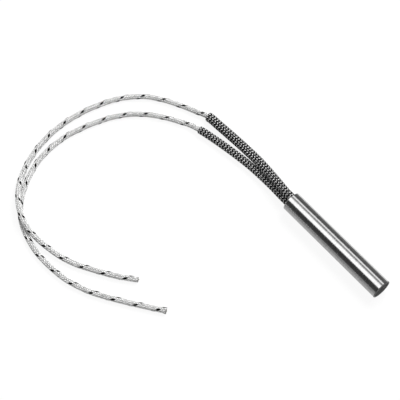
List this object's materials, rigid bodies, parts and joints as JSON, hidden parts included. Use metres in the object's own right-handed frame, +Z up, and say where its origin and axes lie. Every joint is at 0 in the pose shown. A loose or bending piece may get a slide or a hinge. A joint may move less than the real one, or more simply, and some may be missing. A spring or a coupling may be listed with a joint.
{
  "type": "cartridge heater",
  "caption": "Slim cylindrical electric cartridge heater: bright ground metal sheath with a flat closed end, and glass-braided leads that leave its mouth in speckled braided sleeves.",
  "frame": {"origin": "on the floor under the middle of the sheath", "axes": "+X along the sheath to its closed end, +Z up, leads laid out on the -Y side"},
  "size_m": [0.1586, 0.1066, 0.0094],
  "materials": {
    "ground_steel": "centreless ground, bright",
    "welded_steel": "turned, dull",
    "magnesia": "matt, pressed",
    "resistance_wire": "drawn, oxidised",
    "nickel": "drawn",
    "cement": "matt, cast",
    "glass_braid": "braided glass yarn with a dark tracer",
    "black_braid": "braided glass yarn, dark and light"
  },
  "bodies": {
    "root": {"sheath": "ground_steel", "end_disc": "welded_steel", "base_wafer": "magnesia", "ceramic_core": "magnesia", "heating_wire": "resistance_wire", "magnesia_fill": "magnesia", "long_pin": "nickel", "short_pin": "nickel", "splice_ferrule_a": "nickel", "splice_ferrule_b": "nickel", "splice_bead": "magnesia", "end_cement": "cement", "conductor_a": "nickel", "conductor_b": "nickel", "lead_a": "glass_braid", "lead_b": "glass_braid", "sleeve_a": "black_braid", "sleeve_b": "black_braid"}
  },
  "joints": []
}
